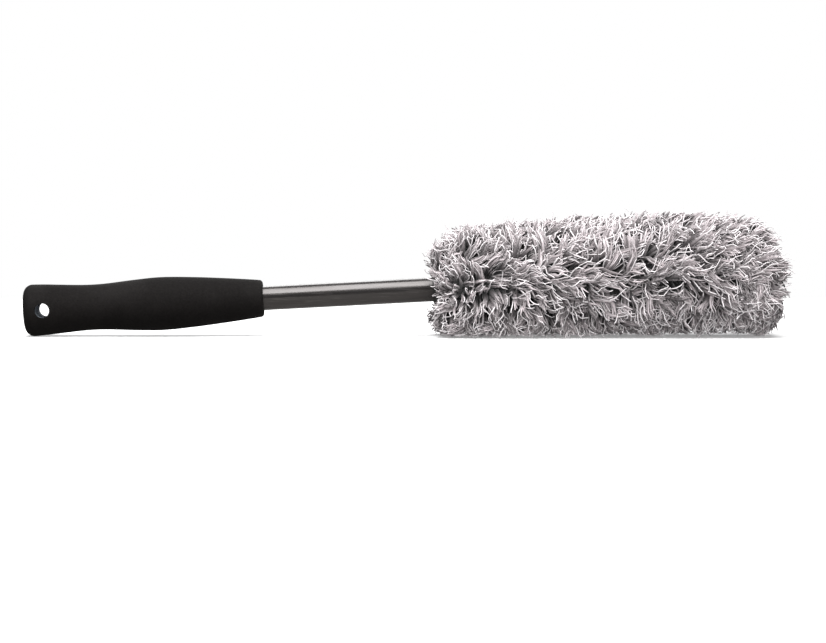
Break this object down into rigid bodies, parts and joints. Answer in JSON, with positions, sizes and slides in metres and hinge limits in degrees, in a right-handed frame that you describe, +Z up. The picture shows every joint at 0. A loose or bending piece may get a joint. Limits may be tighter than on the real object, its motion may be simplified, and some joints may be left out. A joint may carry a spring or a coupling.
{
  "type": "wheel brush",
  "caption": "Long-handled wheel brush: foam grip with a hang hole, dark tubular shaft and a soft cylindrical head of long grey and white microfibre pile.",
  "frame": {"origin": "centre of the whole brush's box, on the level surface it lies on", "axes": "+X towards the tip of the head, +Z up from the surface it lies on, +Y to the left seen from the grip; the brush's own axis rises 3 degrees towards +X"},
  "size_m": [0.381, 0.07, 0.0594],
  "materials": {
    "grip_foam": "matte closed-cell foam",
    "shaft_gloss": "dark gloss",
    "black_plastic": "moulded satin",
    "pin_steel": "plain steel",
    "collar_rubber": "matte",
    "tie_cord": "twisted cord",
    "core_plastic": "moulded satin",
    "cap_rubber": "matte",
    "padding_foam": "open-cell foam",
    "backing_cloth": "knitted backing",
    "seam_thread": "twisted thread",
    "pile_microfibre": "long two-tone microfibre pile"
  },
  "bodies": {
    "root": {"grip_sleeve": "grip_foam", "shaft_tube": "shaft_gloss", "tube_end_plug": "black_plastic", "shaft_pin": "pin_steel", "neck_collar": "collar_rubber", "neck_tie": "tie_cord", "core_spindle": "core_plastic", "core_tip_cap": "cap_rubber", "foam_sleeve": "padding_foam", "neck_pad": "padding_foam", "tip_pad": "padding_foam", "neck_backing": "backing_cloth", "body_backing": "backing_cloth", "tip_backing": "backing_cloth", "neck_seam": "seam_thread", "body_seam": "seam_thread", "tip_seam": "seam_thread", "neck_pile": "pile_microfibre", "body_pile": "pile_microfibre", "tip_pile": "pile_microfibre"}
  },
  "joints": []
}
